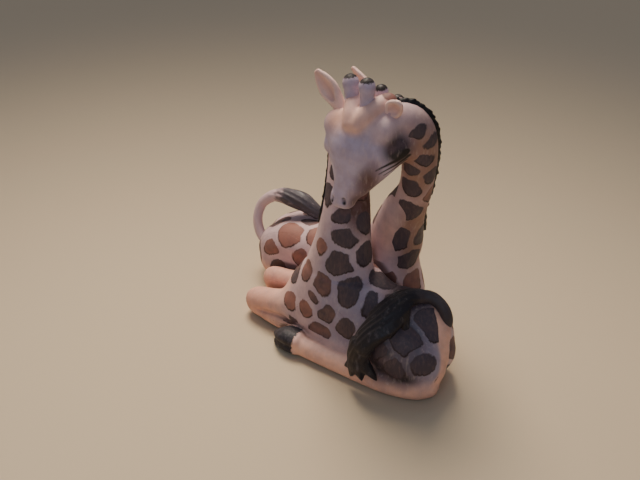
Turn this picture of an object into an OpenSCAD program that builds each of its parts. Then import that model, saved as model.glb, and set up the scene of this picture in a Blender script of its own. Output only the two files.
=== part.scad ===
// Pair of giraffes lying side by side, heading opposite ways, with their necks crossed.
// The front giraffe heads along -X and the back giraffe along +X; both rest on z = 0.
// Every trunk, neck and leg is a lofted solid whose seats are flat, so the pieces meet face to face.

/* [Bodies] */
// Plane between the two animals, along Y
seam_y = 4.5; // [4:0.1:5]
// Height of the flat seat that the front neck stands on
front_seat_z = 27; // [25:0.5:28]
// Height of the flat seat that the back neck stands on
back_seat_z = 26; // [24:0.5:27]
// Radius of the round shoulder seat cut for each neck
neck_seat_r = 11.2; // [11.2:0.1:12]

/* [Joinery] */
// Diameter of the dowel between a trunk and its neck
neck_dowel_d = 5; // [3:0.5:6]
// Length of the dowel between a trunk and its neck
neck_dowel_len = 20; // [12:1:24]
// Diameter of the dowel between a neck and its head
head_dowel_d = 3.5; // [2:0.5:4]
// Length of the dowel between a neck and its head
head_dowel_len = 9; // [7:1:10]
// Diameter of the dowels that hold the two trunks together
trunk_dowel_d = 4; // [3:0.5:6]
// Length of the dowels that hold the two trunks together
trunk_dowel_len = 12; // [8:1:14]
// Diameter of the round tenon on each ear, ossicone and tail
tenon_d = 2.4; // [1.6:0.2:2.6]
// Length of that tenon
tenon_len = 3; // [2:0.5:4]
// Diameter of the round tenon on each leg
leg_tenon_d = 4; // [3:0.5:5]
// Length of the tenon on each leg
leg_tenon_len = 4; // [3:0.5:5]
// Glue gap around every tenon and dowel
glue_gap = 0.05; // [0.02:0.01:0.1]

/* [Horns] */
// Radius of an ossicone at its foot
ossicone_r = 2.7; // [2.2:0.1:2.8]
// Radius of the rounded knob at its end
ossicone_knob_r = 3; // [2.4:0.1:3.2]

/* [Hidden] */
sides = 16;
path_steps = 3;
ear_sides = 12;
bore_fn = 48;
reach = 60;
joint_slack = 0.03;
tail_seat_r = 2.6;
ear_seat_r = 3;

hide_colour = [0.86, 0.74, 0.70];
leg_colour = [0.88, 0.70, 0.62];
patch_colour = [0.55, 0.36, 0.28];
ear_colour = [0.90, 0.68, 0.62];
tuft_colour = [0.20, 0.19, 0.20];
dowel_colour = [0.80, 0.66, 0.46];

// A station of a loft is [x, y, z, half width, half depth].
front_trunk_path = [[-15, -7, 19, 3, 4], [-12, -7, 18.5, 8, 10], [-4, -7, 17.5, 11, 15],
    [10, -7, 17.5, 12.3, 18], [28, -7, 17.5, 12.8, 18.5], [42, -6.5, 16, 13, 16.8],
    [51, -6.5, 14.5, 10, 12.5], [56, -6.5, 14, 4, 5]];
back_trunk_path = [[30, 15, 18, 3, 4], [27, 15, 17.5, 7.5, 10], [18, 15.5, 16.5, 10.5, 14.5],
    [4, 16, 17.5, 12, 18.2], [-18, 16, 16.5, 12.8, 17.3], [-36, 16, 13.5, 12.8, 15.2],
    [-46, 16, 12, 9.5, 11.5], [-51, 16, 12, 4, 5]];
front_neck_path = [[0.5, -7, front_seat_z, 11, 11], [1.5, -6.8, 36, 10.4, 10.4], [3, -6, 48, 9.2, 9.2],
    [3.4, -4.5, 59, 8, 8], [1.2, -1, 70, 7.2, 7.2], [-1.5, 3.5, 82, 6.8, 6.8],
    [-3.5, 7, 90.5, 6.8, 6.8], [-2.6, 8.8, 96.5, 6.8, 6.8], [0.6, 10.6, 99.4, 6.8, 6.8],
    [4.8, 12.8, 99.4, 6.8, 6.8]];
back_neck_path = [[15.5, 15.5, back_seat_z, 11, 10.6], [16.5, 15.3, 35, 11, 10.2], [19, 14.6, 46, 10.4, 9.2],
    [23.6, 13.2, 59, 8.4, 7.6], [28.4, 11, 73.3, 6.8, 6.8], [31, 8.5, 87.3, 7, 7],
    [31.4, 6.8, 98, 7.2, 7.2], [29.6, 5.2, 105, 7.4, 7.4], [25.6, 2.8, 108.6, 7.5, 7.5],
    [20.6, -0.6, 108.6, 7.5, 7.5]];

// A head runs from the middle of the skull to the tip of the muzzle; across points to one side.
front_skull = [12, 15, 96];
front_muzzle = [20.8, 31.5, 73.5];
front_across = [0.88, -0.47, 0];
back_skull = [13, -5, 105];
back_muzzle = [9.9, -12.8, 73.4];
back_across = [0.985, 0, 0.17];
// Stations along a head: [part of its length, half width, half depth].
head_profile = [[-0.33, 4, 3.5], [-0.24, 9.5, 8], [0, 13, 11], [0.25, 12.6, 10.4], [0.5, 9, 8],
    [0.75, 7.2, 6.6], [0.94, 6.2, 5.6], [1.04, 3.4, 3]];
front_head_size = 0.88;
back_head_size = 1;

// An ear or ossicone: [foot, tip].
front_left_ossicone_axis = [[10.2, 12.6, 103], [9.4, 12, 111.2]];
front_right_ossicone_axis = [[16.2, 13, 101.9], [16.9, 12, 109]];
back_right_ossicone_axis = [[9, -5.5, 111.5], [5.4, -3, 121]];
back_left_ossicone_axis = [[15.6, -6.5, 113.5], [14.4, -6, 123]];
front_left_ear_axis = [[6.2, 19.4, 103.2], [-6.2, 16.4, 114.2]];
front_right_ear_axis = [[22.4, 15.9, 99.2], [28.6, 20, 99.2]];
back_right_ear_axis = [[2, -3, 108.6], [-10, -3, 119.5]];
back_left_ear_axis = [[22.8, -8, 112], [29.5, -11.5, 118]];
// Stations along an ear: [part of its length, half width, half thickness].
ear_profile = [[0, 2.2, 2], [0.22, 3.4, 2], [0.5, 4.5, 1.8], [0.75, 3.6, 1.4], [0.93, 1.6, 0.9],
    [1, 0.6, 0.5]];

// Folded forelegs run from the elbow to the knee.
front_left_foreleg_path = [[3, -14, 11, 4.5, 8.5], [-5, -14.2, 10.5, 5, 9], [-18, -14.2, 8.5, 5.2, 8.2],
    [-29, -14.2, 7.6, 5.3, 7.6], [-34.5, -14.2, 7.2, 4.4, 5.8], [-38, -14.2, 7, 1.8, 2.2]];
front_right_foreleg_path = [[3, -0.6, 12, 4.5, 7.5], [-5, -0.6, 11.5, 4.8, 7.5], [-18, -0.6, 10.5, 4.8, 7],
    [-30, -0.6, 10.5, 4.9, 6.4], [-36, -0.6, 10.5, 4, 5.2], [-39.5, -0.6, 10.5, 1.8, 2.2]];
back_right_foreleg_path = [[14, 12.4, 12, 4, 7.5], [21, 12.4, 10.5, 4.2, 7.6], [26, 12.2, 8.5, 4.2, 6.8],
    [31, 12, 7.2, 3.6, 5.4], [34.5, 12, 7, 1.8, 2.2]];
back_left_foreleg_path = [[14, 21, 12, 4.4, 7.5], [21, 21, 10.5, 4.8, 7.6], [26, 21, 8.5, 5, 6.8],
    [31, 21, 7.4, 4.2, 5.4], [34.5, 21, 7, 1.8, 2.4]];

// A hind leg is a thigh that bulges from the flank and a long foot on the ground.
front_left_thigh_path = [[25, -16, 17, 3, 4], [29, -16, 18, 8, 9], [38, -16, 18.5, 11.2, 13],
    [46.5, -15.5, 15, 10.5, 13], [53, -15, 11, 7.5, 9], [57, -15, 8, 2.6, 4]];
front_left_foot_path = [[56.2, -16, 6.6, 2, 2.6], [53.4, -17.2, 6.4, 5.4, 6.4], [49, -20, 5.6, 5.8, 6.2],
    [40, -23.2, 4.8, 5, 5.4], [30, -24.4, 4.4, 4.4, 5], [10, -25, 4.2, 4.2, 4.8], [-3, -25.2, 4.2, 4.1, 4.6],
    [-9, -25.4, 4.2, 4.4, 5], [-14, -25.6, 3.2, 2.6, 3.2]];
front_right_thigh_path = [[27, 0.6, 16, 3, 4], [31, 0.6, 16, 5.2, 9], [38, 0.6, 15, 6.4, 13],
    [45, 0.6, 11.5, 6, 11], [50, 0.6, 8, 4, 7], [53, 0.6, 6, 1.6, 3]];
back_left_thigh_path = [[-19, 25, 17, 3, 4], [-23, 25, 17, 8, 9], [-32, 25, 17, 11, 13],
    [-41, 24.5, 14, 10.2, 12], [-48, 24, 11, 7.4, 9], [-53, 24, 8, 2.6, 4]];
back_left_foot_path = [[-53, 25, 6.6, 2, 2.6], [-50, 26, 6.4, 5.4, 6.4], [-43.5, 29, 5.6, 5.6, 6.2],
    [-34, 32, 4.8, 5, 5.4], [-24, 32.8, 4.4, 4.4, 5], [-4, 33.2, 4.2, 4.2, 4.8], [8, 33.4, 4.2, 4.1, 4.6],
    [14, 33.4, 4.2, 4.4, 5], [19, 33.4, 3.2, 2.6, 3.2]];
back_right_thigh_path = [[-21, 8.4, 15, 2, 4], [-25, 8.4, 15, 3.7, 8], [-33, 8.4, 13.5, 3.8, 11.5],
    [-39, 8.4, 11, 3.8, 10], [-44, 8.4, 8, 3.4, 7], [-47.5, 8.4, 6, 1.6, 3]];

// Tails run from the root to the end of the tuft.
front_tail_path = [[52.5, -3, 24, 2.2, 2.2], [55, -2.6, 29, 2.2, 2.2], [53.4, -2.2, 34.4, 2.2, 2.2],
    [47, -2.6, 38, 2.3, 2.3], [40, -8, 39.6, 3, 3], [36.5, -16, 39.4, 4, 4], [34, -23.4, 36, 4.4, 4.4],
    [31, -29.4, 28.6, 4.2, 4.2], [29.6, -32.4, 20.6, 4.4, 4.4], [28.6, -33.2, 13, 4.4, 4.4],
    [27.6, -33, 7.4, 1.6, 1.6]];
back_tail_path = [[-48, 13, 14.5, 2.3, 2.3], [-52.4, 13.6, 17.8, 2.3, 2.3], [-55.6, 15.4, 23.5, 2.2, 2.2],
    [-55.6, 18.6, 30, 2.3, 2.3], [-51, 20.4, 35.2, 2.8, 2.8], [-43.5, 21.6, 37.6, 4, 4],
    [-35, 22.4, 37.2, 4.4, 4.4], [-27.5, 22.8, 35.6, 2.6, 2.6], [-23.5, 23, 34, 1, 1]];

// Leg pads: forelegs meet a trunk below this height, behind this place along X, at these planes.
foreleg_top_z = 20;
front_foreleg_x = 3;
back_foreleg_x = 19.5;
front_left_foreleg_y = -9;
front_right_foreleg_y = -5;
back_right_foreleg_y = 16.4;
back_left_foreleg_y = 16.6;
front_left_thigh_y = -16;
front_right_thigh_y = 0.6;
back_left_thigh_y = 25;
back_right_thigh_y = 8.4;
front_thigh_x = 22;
back_thigh_x = -18;
front_inner_thigh_z = 30;
back_inner_thigh_z = 29;
trunk_dowel_places = [[12, 14], [-6, 24]];

function unit(v) = v / norm(v);
function place(station) = [station.x, station.y, station.z];
function last(list) = list[len(list) - 1];
function turn_to(v) = [0, acos(v.z / norm(v)), atan2(v.y, v.x)];

// Catmull-Rom curve through the stations of a path.
function curve(a, b, c, d, t) =
    0.5 * (2 * b + (c - a) * t + (2 * a - 5 * b + 4 * c - d) * t * t + (3 * b - a - 3 * c + d) * t * t * t);
function smooth(path, steps) = [
    for (i = [0 : len(path) - 2])
        for (j = [0 : steps - 1])
            curve(path[max(i - 1, 0)], path[i], path[i + 1], path[min(i + 2, len(path) - 1)], j / steps),
    last(path)
];
function heading(path, i) = unit(place(path[min(i + 1, len(path) - 1)]) - place(path[max(i - 1, 0)]));

// One ring of a loft: an ellipse across the path, its width along the side direction.
function ring(station, along, side, count) =
    let (u = unit(side - (side * along) * along), v = cross(along, u))
    [for (k = [0 : count - 1])
        place(station) + station[3] * cos(360 * k / count) * u + station[4] * sin(360 * k / count) * v];

module loft(path, side, count = sides, steps = path_steps) {
    fine = smooth(path, steps);
    rings = [for (i = [0 : len(fine) - 1]) ring(fine[i], heading(fine, i), side, count)];
    points = [for (r = rings) for (p = r) p];
    top = (len(fine) - 1) * count;
    start_cap = [for (k = [1 : count - 2]) [0, k, k + 1]];
    end_cap = [for (k = [1 : count - 2]) [top, top + k + 1, top + k]];
    wall = [
        for (i = [0 : len(fine) - 2])
            for (k = [0 : count - 1])
                let (a = i * count + k, b = i * count + (k + 1) % count)
                each [[a, a + count, b], [b, a + count, b + count]]
    ];
    polyhedron(points, concat(start_cap, end_cap, wall));
}

// Everything on one side of a plane through a point, as a large block.
module beyond(point, direction) {
    translate(point) rotate(turn_to(direction)) translate([-reach, -reach, 0]) cube(2 * reach);
}

// A block that holds x0..x1, y0..y1 and z0..z1.
module block(low, high) {
    translate(low) cube(high - low);
}

module peg(point, direction, d, len) {
    translate(point) rotate(turn_to(direction)) translate([0, 0, -len / 2])
        cylinder(d = d, h = len, $fn = bore_fn);
}

module dowel_bore(point, direction, d, len) {
    peg(point, direction, d + 2 * glue_gap, len + 4 * glue_gap);
}

// A round tenon that points backwards from the foot of a piece.
module tenon(foot, direction, d, len) {
    translate(foot) rotate(turn_to(direction)) translate([0, 0, -len])
        cylinder(d = d, h = len + 0.5, $fn = bore_fn);
}

// The socket for it: a flat round seat with a bore below it.
module socket(foot, direction, seat_r, d, len) {
    translate(foot) rotate(turn_to(direction)) {
        cylinder(r = seat_r + glue_gap, h = 9, $fn = bore_fn);
        translate([0, 0, -len - 2 * glue_gap]) cylinder(d = d + 2 * glue_gap, h = len + 1, $fn = bore_fn);
    }
}

function axis_direction(axis) = unit(axis[1] - axis[0]);

module plug_socket(axis, seat_r) {
    socket(axis[0], axis_direction(axis), seat_r, tenon_d, tenon_len);
}

function neck_foot(path) = place(path[0]);
function foot_direction(path) = heading(smooth(path, path_steps), 0);
function neck_top(path) = place(last(path));
function top_direction(path) = heading(smooth(path, path_steps), (len(path) - 1) * path_steps);

module trunk(path, neck_path, tail_path) {
    difference() {
        loft(path, [0, 1, 0], 20);
        block([-reach * 2, -reach, -reach], [reach * 2, reach, 0]);
        translate(neck_foot(neck_path)) rotate(turn_to(foot_direction(neck_path)))
            cylinder(r = neck_seat_r, h = reach, $fn = bore_fn);
        dowel_bore(neck_foot(neck_path), foot_direction(neck_path), neck_dowel_d, neck_dowel_len);
        socket(place(tail_path[0]), foot_direction(tail_path), tail_seat_r, tenon_d, tenon_len);
        trunk_dowel_bores();
        children();
    }
}

module trunk_dowel_bores() {
    for (at = trunk_dowel_places)
        dowel_bore([at.x, seam_y, at.y], [0, 1, 0], trunk_dowel_d, trunk_dowel_len);
}

module trunk_dowels() {
    color(dowel_colour)
        for (at = trunk_dowel_places) peg([at.x, seam_y, at.y], [0, 1, 0], trunk_dowel_d, trunk_dowel_len);
}

module front_trunk() {
    color(patch_colour) trunk(front_trunk_path, front_neck_path, front_tail_path) {
        block([-reach, seam_y - joint_slack, -1], [reach, reach, reach]);
        block([-reach, -reach, -1], [front_foreleg_x, front_left_foreleg_y, foreleg_top_z]);
        block([-reach, front_right_foreleg_y, -1], [front_foreleg_x, reach, foreleg_top_z]);
        block([front_thigh_x, -reach, -1], [reach, front_left_thigh_y, reach]);
        block([front_thigh_x, front_right_thigh_y, -1], [reach, reach, front_inner_thigh_z]);
        leg_sockets(front_leg_pads);
    }
}

module back_trunk() {
    color(patch_colour) trunk(back_trunk_path, back_neck_path, back_tail_path) {
        block([-reach, -reach, -1], [reach, seam_y + joint_slack, reach]);
        block([back_foreleg_x, -reach, -1], [reach, back_right_foreleg_y, foreleg_top_z]);
        block([back_foreleg_x, back_left_foreleg_y, -1], [reach, reach, foreleg_top_z]);
        block([-reach, back_left_thigh_y, -1], [back_thigh_x, reach, reach]);
        block([-reach, -reach, -1], [back_thigh_x, back_right_thigh_y, back_inner_thigh_z]);
        leg_sockets(back_leg_pads);
    }
}

// Where each leg's tenon enters its trunk: [point on the pad, direction out of the trunk].
front_leg_pads = [[[front_foreleg_x, -14, 10], [-1, 0, 0]], [[front_foreleg_x, -0.6, 11], [-1, 0, 0]],
    [[40, front_left_thigh_y, 16], [0, -1, 0]], [[38, front_right_thigh_y, 14], [0, 1, 0]]];
back_leg_pads = [[[back_foreleg_x, 12.4, 10.5], [1, 0, 0]], [[back_foreleg_x, 21, 10.5], [1, 0, 0]],
    [[-34, back_left_thigh_y, 15], [0, 1, 0]], [[-33, back_right_thigh_y, 13], [0, -1, 0]]];

module leg_sockets(pads) {
    for (pad = pads) dowel_bore(pad[0], pad[1], leg_tenon_d, 2 * leg_tenon_len);
}

module leg_tenon(pad) {
    tenon(pad[0], pad[1], leg_tenon_d, leg_tenon_len);
}

module foreleg(path, low, high, pad) {
    color(leg_colour) {
        intersection() {
            loft(path, [0, 1, 0], 12);
            block(low, high);
        }
        leg_tenon(pad);
    }
}

module neck(path) {
    color(patch_colour) difference() {
        loft(path, [1, 0, 0]);
        dowel_bore(neck_foot(path), foot_direction(path), neck_dowel_d, neck_dowel_len);
        dowel_bore(neck_top(path), top_direction(path), head_dowel_d, head_dowel_len);
    }
}

function head_path(skull, muzzle, size) = [
    for (s = head_profile) concat(skull + s[0] * (muzzle - skull), [s[1] * size, s[2] * size])
];

module head(skull, muzzle, across, size, neck_path) {
    color(hide_colour) difference() {
        loft(head_path(skull, muzzle, size), across);
        beyond(neck_top(neck_path), -top_direction(neck_path));
        dowel_bore(neck_top(neck_path), top_direction(neck_path), head_dowel_d, head_dowel_len);
        children();
    }
}

module front_head() {
    head(front_skull, front_muzzle, front_across, front_head_size, front_neck_path) {
        plug_socket(front_left_ear_axis, ear_seat_r);
        plug_socket(front_right_ear_axis, ear_seat_r);
        plug_socket(front_left_ossicone_axis, ossicone_knob_r);
        plug_socket(front_right_ossicone_axis, ossicone_knob_r);
    }
}

module back_head() {
    head(back_skull, back_muzzle, back_across, back_head_size, back_neck_path) {
        plug_socket(back_left_ear_axis, ear_seat_r);
        plug_socket(back_right_ear_axis, ear_seat_r);
        plug_socket(back_left_ossicone_axis, ossicone_knob_r);
        plug_socket(back_right_ossicone_axis, ossicone_knob_r);
    }
}

function ear_path(axis) = [for (s = ear_profile) concat(axis[0] + s[0] * (axis[1] - axis[0]), [s[1], s[2]])];

module ear(axis, side) {
    color(ear_colour) {
        loft(ear_path(axis), side, ear_sides, 2);
        tenon(axis[0], axis_direction(axis), tenon_d, tenon_len);
    }
}

module ossicone(axis) {
    len = norm(axis[1] - axis[0]);
    color(tuft_colour) translate(axis[0]) rotate(turn_to(axis[1] - axis[0])) {
        rotate_extrude($fn = bore_fn) {
            polygon([[0, 0], [ossicone_r, 0], [ossicone_r * 0.85, len - ossicone_knob_r],
                [0, len - ossicone_knob_r]]);
            translate([0, len - ossicone_knob_r]) intersection() {
                circle(r = ossicone_knob_r, $fn = bore_fn);
                translate([0, -ossicone_knob_r]) square(2 * ossicone_knob_r);
            }
        }
        translate([0, 0, -tenon_len]) cylinder(d = tenon_d, h = tenon_len + 0.5, $fn = bore_fn);
    }
}

module tail(path) {
    color(tuft_colour) {
        loft(path, [0.3, 0.9, 0.3], 12);
        tenon(place(path[0]), foot_direction(path), tenon_d, tenon_len);
    }
}

module front_left_foreleg() {
    foreleg(front_left_foreleg_path, [-reach, -reach, 0],
        [front_foreleg_x, front_left_foreleg_y, foreleg_top_z], front_leg_pads[0]);
}

module front_right_foreleg() {
    foreleg(front_right_foreleg_path, [-reach, front_right_foreleg_y, 0],
        [front_foreleg_x, seam_y - joint_slack, foreleg_top_z], front_leg_pads[1]);
}

module back_right_foreleg() {
    foreleg(back_right_foreleg_path, [back_foreleg_x, seam_y + joint_slack, 0],
        [reach, back_right_foreleg_y, foreleg_top_z], back_leg_pads[0]);
}

module back_left_foreleg() {
    foreleg(back_left_foreleg_path, [back_foreleg_x, back_left_foreleg_y, 0], [reach, reach, foreleg_top_z],
        back_leg_pads[1]);
}

module outer_hind_leg(thigh_path, foot_path, low, high, pad) {
    color(leg_colour) {
        intersection() {
            union() {
                loft(thigh_path, [0, 1, 0], 14);
                loft(foot_path, [0, 1, 0], 12);
            }
            block(low, high);
        }
        leg_tenon(pad);
    }
}

module front_left_hind_leg() {
    outer_hind_leg(front_left_thigh_path, front_left_foot_path, [-reach, -reach, 0],
        [reach, front_left_thigh_y, reach], front_leg_pads[2]);
}

module back_left_hind_leg() {
    outer_hind_leg(back_left_thigh_path, back_left_foot_path, [-reach, back_left_thigh_y, 0],
        [reach, reach, reach], back_leg_pads[2]);
}

module inner_hind_leg(thigh_path, low, high, pad) {
    color(leg_colour) {
        intersection() {
            loft(thigh_path, [0, 1, 0], 14);
            block(low, high);
        }
        leg_tenon(pad);
    }
}

module front_right_hind_leg() {
    inner_hind_leg(front_right_thigh_path, [front_thigh_x, front_right_thigh_y, 0],
        [reach, reach, front_inner_thigh_z], front_leg_pads[3]);
}

module back_right_hind_leg() {
    inner_hind_leg(back_right_thigh_path, [-reach, seam_y + joint_slack, 0],
        [back_thigh_x, back_right_thigh_y, back_inner_thigh_z], back_leg_pads[3]);
}

module front_neck() { neck(front_neck_path); }
module back_neck() { neck(back_neck_path); }
module front_left_ear() { ear(front_left_ear_axis, [-0.6, 0.53, -0.37]); }
module front_right_ear() { ear(front_right_ear_axis, [0, 0.3, 1]); }
module back_left_ear() { ear(back_left_ear_axis, [0.3, 0.2, -1]); }
module back_right_ear() { ear(back_right_ear_axis, [0.7, 0, 0.7]); }
module front_left_ossicone() { ossicone(front_left_ossicone_axis); }
module front_right_ossicone() { ossicone(front_right_ossicone_axis); }
module back_left_ossicone() { ossicone(back_left_ossicone_axis); }
module back_right_ossicone() { ossicone(back_right_ossicone_axis); }
module front_tail() { tail(front_tail_path); }
module back_tail() { tail(back_tail_path); }

module neck_dowel(path) {
    color(dowel_colour) peg(neck_foot(path), foot_direction(path), neck_dowel_d, neck_dowel_len);
}

module head_dowel(path) {
    color(dowel_colour) peg(neck_top(path), top_direction(path), head_dowel_d, head_dowel_len);
}

module front_neck_dowel() { neck_dowel(front_neck_path); }
module back_neck_dowel() { neck_dowel(back_neck_path); }
module front_head_dowel() { head_dowel(front_neck_path); }
module back_head_dowel() { head_dowel(back_neck_path); }

front_trunk();
front_neck();
front_head();
front_left_ear();
front_right_ear();
front_left_ossicone();
front_right_ossicone();
front_left_foreleg();
front_right_foreleg();
front_left_hind_leg();
front_right_hind_leg();
front_tail();
front_neck_dowel();
front_head_dowel();
back_trunk();
back_neck();
back_head();
back_left_ear();
back_right_ear();
back_left_ossicone();
back_right_ossicone();
back_left_foreleg();
back_right_foreleg();
back_left_hind_leg();
back_right_hind_leg();
back_tail();
back_neck_dowel();
back_head_dowel();
trunk_dowels();
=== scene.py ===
"""The looks of a painted statue of two resting giraffes that lie side by side with crossed necks.

Each animal is sculpted as clay: a grid of signed distances in which limbs and lumps are merged softly.
The clay is turned into one smooth skin, the skin is cut at the joints of the CAD model, and each piece
then replaces its CAD node. Lengths are in millimetres, in the frame of the CAD model, except for the
camera, the lights and the floor, which are in metres. Names of sides are the animal's own.
"""
import math

import bpy
import numpy as np
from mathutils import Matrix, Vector


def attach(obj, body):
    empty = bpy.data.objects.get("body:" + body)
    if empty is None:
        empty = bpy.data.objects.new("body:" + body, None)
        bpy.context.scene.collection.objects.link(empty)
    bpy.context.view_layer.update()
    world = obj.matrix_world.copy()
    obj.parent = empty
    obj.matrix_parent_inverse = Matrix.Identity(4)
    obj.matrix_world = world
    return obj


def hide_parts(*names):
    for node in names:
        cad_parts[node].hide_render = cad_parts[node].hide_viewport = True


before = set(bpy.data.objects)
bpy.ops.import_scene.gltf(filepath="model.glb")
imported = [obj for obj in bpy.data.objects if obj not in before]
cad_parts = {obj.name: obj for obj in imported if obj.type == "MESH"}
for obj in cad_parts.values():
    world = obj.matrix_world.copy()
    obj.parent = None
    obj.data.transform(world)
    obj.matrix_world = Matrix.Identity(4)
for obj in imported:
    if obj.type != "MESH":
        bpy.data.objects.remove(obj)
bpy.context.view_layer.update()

MM = 0.001
FAR = 40.0          # the distance in empty clay, beyond every surface
BODY_PITCH = 0.5
FINE_PITCH = 0.32
UP = np.array([0.0, 0.0, 1.0])
SEAM_Y = 4.5
SEAM_TOP = 50


# ---------------------------------------------------------------- clay

def unit(vector):
    vector = np.asarray(vector, float)
    return vector / np.linalg.norm(vector)


def smooth_line(stations, steps):
    """Points on a smooth curve through the stations, which may carry sizes after their x, y and z."""
    rows = np.asarray(stations, float)
    padded = np.vstack([2 * rows[0] - rows[1], rows, 2 * rows[-1] - rows[-2]])
    share = np.arange(steps)[:, None] / steps
    spans = []
    for i in range(len(rows) - 1):
        before, start, end, after = padded[i:i + 4]
        spans.append(0.5 * (2 * start + (end - before) * share
                            + (2 * before - 5 * start + 4 * end - after) * share ** 2
                            + (3 * start - before - 3 * end + after) * share ** 3))
    return np.vstack(spans + [rows[-1:]])


def sideways(along, side=None):
    """A direction at right angles to a limb: towards a side, or level unless the limb stands upright."""
    if side is None:
        side = np.cross(along, UP if abs(along[2]) < 0.9 else [0, 1, 0])
    side = np.asarray(side)
    return unit(side - along * (side @ along))


def lump_gap(local, radii):
    """About how far places are outside an ellipsoid, given along its own axes."""
    near = np.linalg.norm(local / radii, axis=-1)
    steep = np.linalg.norm(local / radii ** 2, axis=-1)
    return near * (near - 1) / np.maximum(steep, 1e-4)


def soft_union(a, b, blend):
    if blend == 0:
        return np.minimum(a, b)
    near = np.maximum(blend - np.abs(a - b), 0) / blend
    return np.minimum(a, b) - near ** 2 * blend / 4


class Clay:
    """A block of signed distances on a lattice that all blocks of one pitch share. Inside is negative."""

    def __init__(self, low, high, pitch):
        self.pitch = pitch
        self.first = np.floor(np.asarray(low, float) / pitch).astype(int)
        self.size = np.ceil(np.asarray(high, float) / pitch).astype(int) + 1 - self.first
        self.field = np.full(self.size, FAR, np.float32)

    def window(self, low, high):
        """The cells between two corners, as slices and as an array of places."""
        start = np.clip(np.floor(low / self.pitch).astype(int) - self.first, 0, self.size)
        stop = np.clip(np.ceil(high / self.pitch).astype(int) + 1 - self.first, 0, self.size)
        axes = [(self.first[i] + np.arange(start[i], stop[i])) * self.pitch for i in range(3)]
        places = np.stack(np.meshgrid(*axes, indexing="ij"), -1).astype(np.float32)
        return tuple(slice(a, b) for a, b in zip(start, stop)), places

    def press(self, part, blend, carve=False):
        """Merges another block into this one, or carves it away."""
        offset = part.first - self.first
        start = np.maximum(offset, 0)
        stop = np.minimum(offset + part.size, self.size)
        here = tuple(slice(a, b) for a, b in zip(start, stop))
        there = tuple(slice(a, b) for a, b in zip(start - offset, stop - offset))
        if carve:
            self.field[here] = -soft_union(-self.field[here], part.field[there], blend)
        else:
            self.field[here] = soft_union(self.field[here], part.field[there], blend)

    def lump(self, centre, radii, blend, axes=None, carve=False):
        """An ellipsoid. Its radii are along the rows of axes."""
        axes = np.eye(3) if axes is None else np.asarray(axes, float)
        reach = float(np.max(radii)) + blend + self.pitch
        part = Clay(np.asarray(centre) - reach, np.asarray(centre) + reach, self.pitch)
        cells, places = part.window(np.asarray(centre) - reach, np.asarray(centre) + reach)
        part.field[cells] = lump_gap((places - centre) @ axes.T, np.asarray(radii, float))
        self.press(part, blend, carve)

    def limb(self, stations, blend, steps=4, side=None, locks=0, lock_depth=0.0, twist=0.0, carve=False):
        """A tapered tube through stations: x, y, z, half width, half depth. Locks are grooves along it."""
        rows = smooth_line(stations, steps)
        reach = rows[:, 3:].max(1) + blend + lock_depth + 2 * self.pitch
        part = Clay((rows[:, :3] - reach[:, None]).min(0), (rows[:, :3] + reach[:, None]).max(0), self.pitch)
        for i in range(len(rows) - 1):
            a, b = rows[i, :3], rows[i + 1, :3]
            margin = max(reach[i], reach[i + 1])
            cells, places = part.window(np.minimum(a, b) - margin, np.maximum(a, b) + margin)
            along = unit(b - a)
            across = sideways(along, side)
            rel = places - a
            share = np.clip(rel @ (b - a) / ((b - a) @ (b - a)), 0, 1)[..., None]
            rel = rel - share * (b - a)
            local = np.stack([rel @ across, rel @ np.cross(across, along), rel @ along], -1)
            sizes = rows[i, 3:5] + share * (rows[i + 1, 3:5] - rows[i, 3:5])
            gap = lump_gap(local, np.concatenate([sizes, sizes.min(-1, keepdims=True)], -1))
            if locks:
                angle = np.arctan2(local[..., 1], local[..., 0]) + twist * (i + share[..., 0])
                gap = gap + lock_depth * np.abs(np.sin(angle * locks / 2))
            part.field[cells] = np.minimum(part.field[cells], gap)
        self.press(part, blend, carve)

    def read(self, places):
        """The distances at any places, from the cells around them."""
        spot = np.clip(places / self.pitch - self.first, 0, self.size - 1.001)
        cell = spot.astype(int)
        share = spot - cell
        total = np.zeros(len(places))
        for corner in np.ndindex(2, 2, 2):
            weight = np.prod(np.where(corner, share, 1 - share), axis=1)
            total += weight * self.field[tuple((cell + corner).T)]
        return total

    def skin(self):
        """Vertices and four-sided faces of the surface, one vertex in each cell that the surface crosses."""
        field = softened(self.field)
        close_edges(field)
        inside = field < 0
        mixed = mixed_cells(inside)
        cells = np.argwhere(mixed)
        number = np.full(mixed.shape, -1)
        number[mixed] = np.arange(len(cells))
        return (crossing_means(field, cells) + self.first) * self.pitch, skin_faces(inside, number)


def softened(field):
    """A copy of a grid, blurred a little along each axis."""
    field = field.copy()
    for axis in range(3):
        rows = np.moveaxis(field, axis, 0)
        rows[1:-1] = (rows[:-2] + 2 * rows[1:-1] + rows[2:]) / 4
    return field


def mixed_cells(inside):
    """Which cells have corners both inside and outside."""
    nx, ny, nz = inside.shape
    count = np.zeros((nx - 1, ny - 1, nz - 1), np.int8)
    for i, j, k in np.ndindex(2, 2, 2):
        count += inside[i:nx - 1 + i, j:ny - 1 + j, k:nz - 1 + k]
    return (count > 0) & (count < 8)


def edge_steps(axis):
    """One grid step along an axis, and one along each of the two axes across it."""
    return np.eye(3, dtype=int)[[axis, (axis + 1) % 3, (axis + 2) % 3]]


def crossing_means(field, cells):
    """For each cell, the mean of the places where the surface crosses its edges."""
    total = np.zeros((len(cells), 3))
    hits = np.zeros(len(cells))
    for axis in range(3):
        step, one, two = edge_steps(axis)
        for shift in (0 * one, one, two, one + two):
            start = cells + shift
            a = field[tuple(start.T)]
            b = field[tuple((start + step).T)]
            crossed = (a < 0) != (b < 0)
            share = np.zeros(len(cells))
            share[crossed] = a[crossed] / (a[crossed] - b[crossed])
            total[crossed] += (start + share[:, None] * step)[crossed]
            hits[crossed] += 1
    return total / hits[:, None]


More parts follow.
